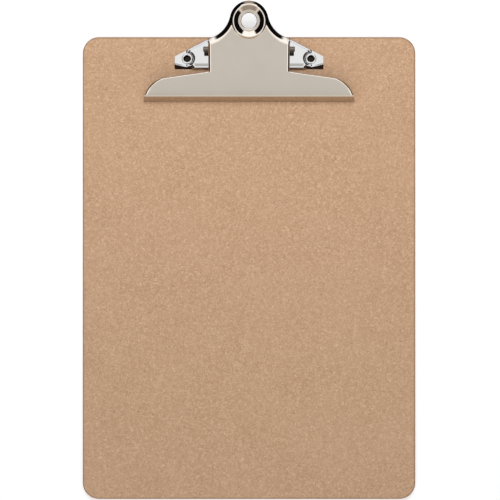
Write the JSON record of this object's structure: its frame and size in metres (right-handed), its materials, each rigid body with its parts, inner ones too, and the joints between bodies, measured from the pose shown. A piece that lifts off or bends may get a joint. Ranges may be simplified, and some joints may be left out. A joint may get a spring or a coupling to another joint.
{
  "type": "clipboard",
  "caption": "Letter-size hardboard clipboard with a sprung chrome lever clip, a wide folded lip and a hanging eye in its thumb tab.",
  "frame": {"origin": "middle of the board's back face", "axes": "+X across the board, +Y along the board towards the clip, +Z out of the writing face"},
  "size_m": [0.2286, 0.3372, 0.0259],
  "materials": {
    "hardboard": "tempered hardboard, smooth satin face with fine fibre flecks",
    "clip_plate": "bright nickel-chrome plate on pressed sheet steel",
    "clip_lever": "bright nickel plate on pressed sheet steel",
    "pin_steel": "dark oiled steel rod",
    "spring_wire": "drawn spring wire, zinc plated",
    "rivet_steel": "plated semi-tubular rivet"
  },
  "bodies": {
    "board_assembly": {"board": "hardboard", "base_plate": "clip_plate", "hinge_pin": "pin_steel", "spring_left": "spring_wire", "spring_right": "spring_wire", "rivet_left": "rivet_steel", "rivet_right": "rivet_steel"},
    "lever": {"lever": "clip_lever"}
  },
  "joints": [
    {"name": "lever_hinge", "type": "hinge", "parent": "board_assembly", "child": "lever", "pos_m": [0, 0.1483, 0.01255], "axis": [-1, 0, 0], "range_deg": [0, 28], "stiffness_Nm_per_rad": 1.15, "springref_deg": -40.11, "deforming": ["spring_left", "spring_right"]}
  ]
}
